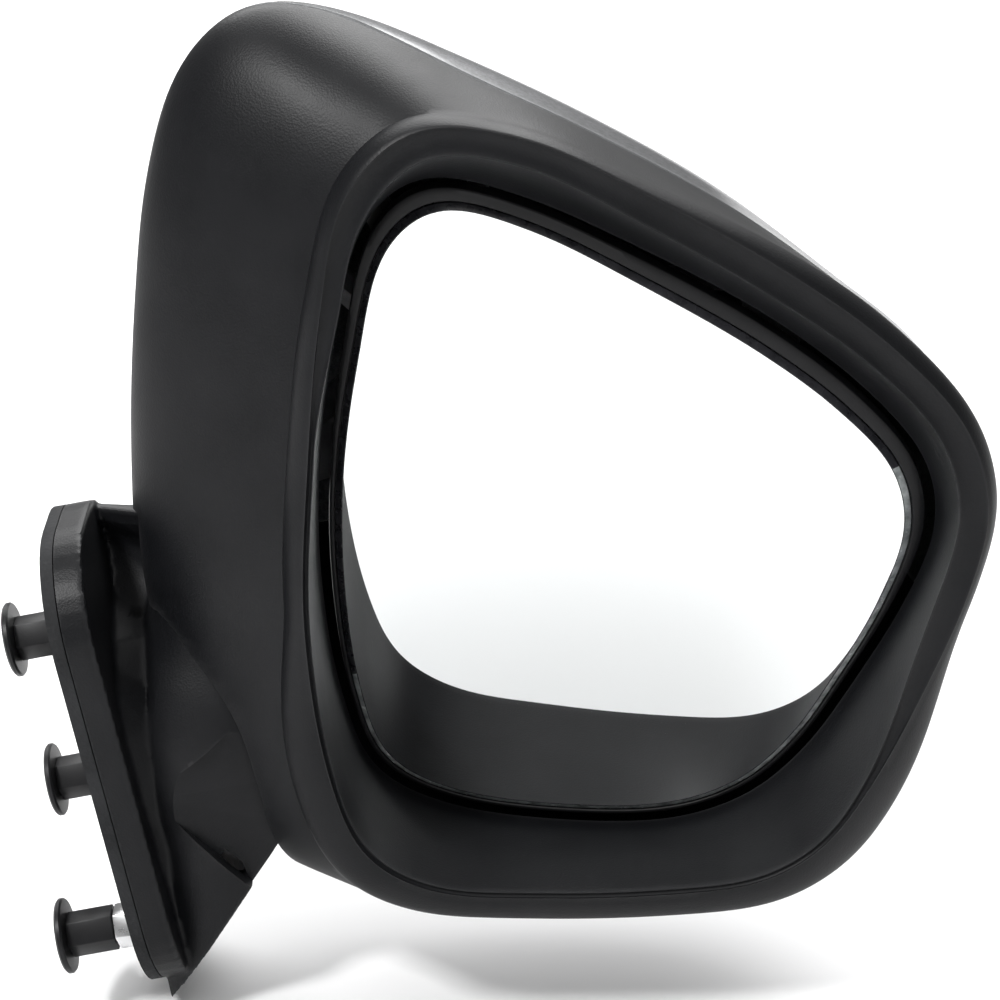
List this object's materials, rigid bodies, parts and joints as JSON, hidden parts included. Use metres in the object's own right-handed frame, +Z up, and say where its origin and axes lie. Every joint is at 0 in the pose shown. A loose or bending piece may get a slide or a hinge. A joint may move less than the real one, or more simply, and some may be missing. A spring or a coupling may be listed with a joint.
{
  "type": "car side mirror",
  "caption": "Right-hand door mirror of a car: grained black shells, grey cap, folding foot with gasket and studs, powered glass on a tilt ring.",
  "frame": {"origin": "centre of the face that meets the door", "axes": "+X outboard, +Y towards the front of the car, +Z up; the glass faces -Y"},
  "size_m": [0.2388, 0.1039, 0.2503],
  "materials": {
    "black_plastic": "grained moulded plastic",
    "satin_black": "smooth satin",
    "grey_paint": "silver-grey metallic paint",
    "rubber": "matte",
    "zinc_steel": "bright zinc plate",
    "steel": "machined",
    "cast_alloy": "as cast",
    "grey_nylon": "moulded",
    "white_nylon": "moulded",
    "mirror": "silvered glass"
  },
  "bodies": {
    "foot": {"door_gasket": "rubber", "harness_grommet": "rubber", "stud_1": "zinc_steel", "flange_nut_1": "satin_black", "stud_2": "zinc_steel", "flange_nut_2": "satin_black", "stud_3": "zinc_steel", "flange_nut_3": "satin_black", "foot_cover": "black_plastic", "foot_frame": "cast_alloy", "pivot_post": "steel", "detent_ring": "steel", "fold_spring": "steel", "spring_cap": "steel"},
    "head": {"head_housing": "black_plastic", "cap_cover": "grey_paint", "lower_cover": "black_plastic", "head_frame": "cast_alloy", "actuator_base": "grey_nylon", "actuator_cover": "grey_nylon", "tilt_motor": "steel", "pan_motor": "steel", "shell_screw_1": "zinc_steel", "shell_screw_2": "zinc_steel", "shell_screw_3": "zinc_steel"},
    "tilt_ring": {"tilt_ring": "white_nylon"},
    "glass": {"mirror_glass": "mirror", "glass_holder": "satin_black"},
    "tilt_rod": {"tilt_rod": "white_nylon"},
    "pan_rod": {"pan_rod": "white_nylon"},
    "tilt_gear": {"tilt_gear": "white_nylon"},
    "pan_gear": {"pan_gear": "white_nylon"}
  },
  "joints": [
    {"name": "head_fold", "type": "hinge", "parent": "foot", "child": "head", "pos_m": [0.029, 0, 0.06], "axis": [0, 0, 1], "range_deg": [-40, 30]},
    {"name": "glass_tilt", "type": "hinge", "parent": "head", "child": "tilt_ring", "pos_m": [0.12624, -0.00118, 0.06367], "axis": [0.9945, -0.1045, 0], "range_deg": [-8, 8]},
    {"name": "glass_pan", "type": "hinge", "parent": "tilt_ring", "child": "glass", "pos_m": [0.12624, -0.00118, 0.06367], "axis": [-0.0145, -0.1384, 0.9903], "range_deg": [-8, 8]},
    {"name": "tilt_rod_slide", "type": "slide", "parent": "head", "child": "tilt_rod", "axis": [0.1035, 0.9848, 0.1392], "range_m": [-0.0036, 0.0036]},
    {"name": "pan_rod_slide", "type": "slide", "parent": "head", "child": "pan_rod", "axis": [0.1035, 0.9848, 0.1392], "range_m": [-0.0036, 0.0036]},
    {"name": "tilt_gear_spin", "type": "hinge", "parent": "head", "child": "tilt_gear", "pos_m": [0.12837, 0.01902, 0.04128], "axis": [0.1035, 0.9848, 0.1392], "range_deg": [-80, 80]},
    {"name": "pan_gear_spin", "type": "hinge", "parent": "head", "child": "pan_gear", "pos_m": [0.15286, 0.01295, 0.06604], "axis": [0.1035, 0.9848, 0.1392], "range_deg": [-80, 80]}
  ],
  "couplings": [
    {"joint": "tilt_rod_slide", "follows": "glass_tilt", "m_per_rad": 0.025},
    {"joint": "pan_rod_slide", "follows": "glass_pan", "m_per_rad": 0.025},
    {"joint": "tilt_gear_spin", "follows": "glass_tilt", "ratio": 9.817},
    {"joint": "pan_gear_spin", "follows": "glass_pan", "ratio": 9.817}
  ]
}
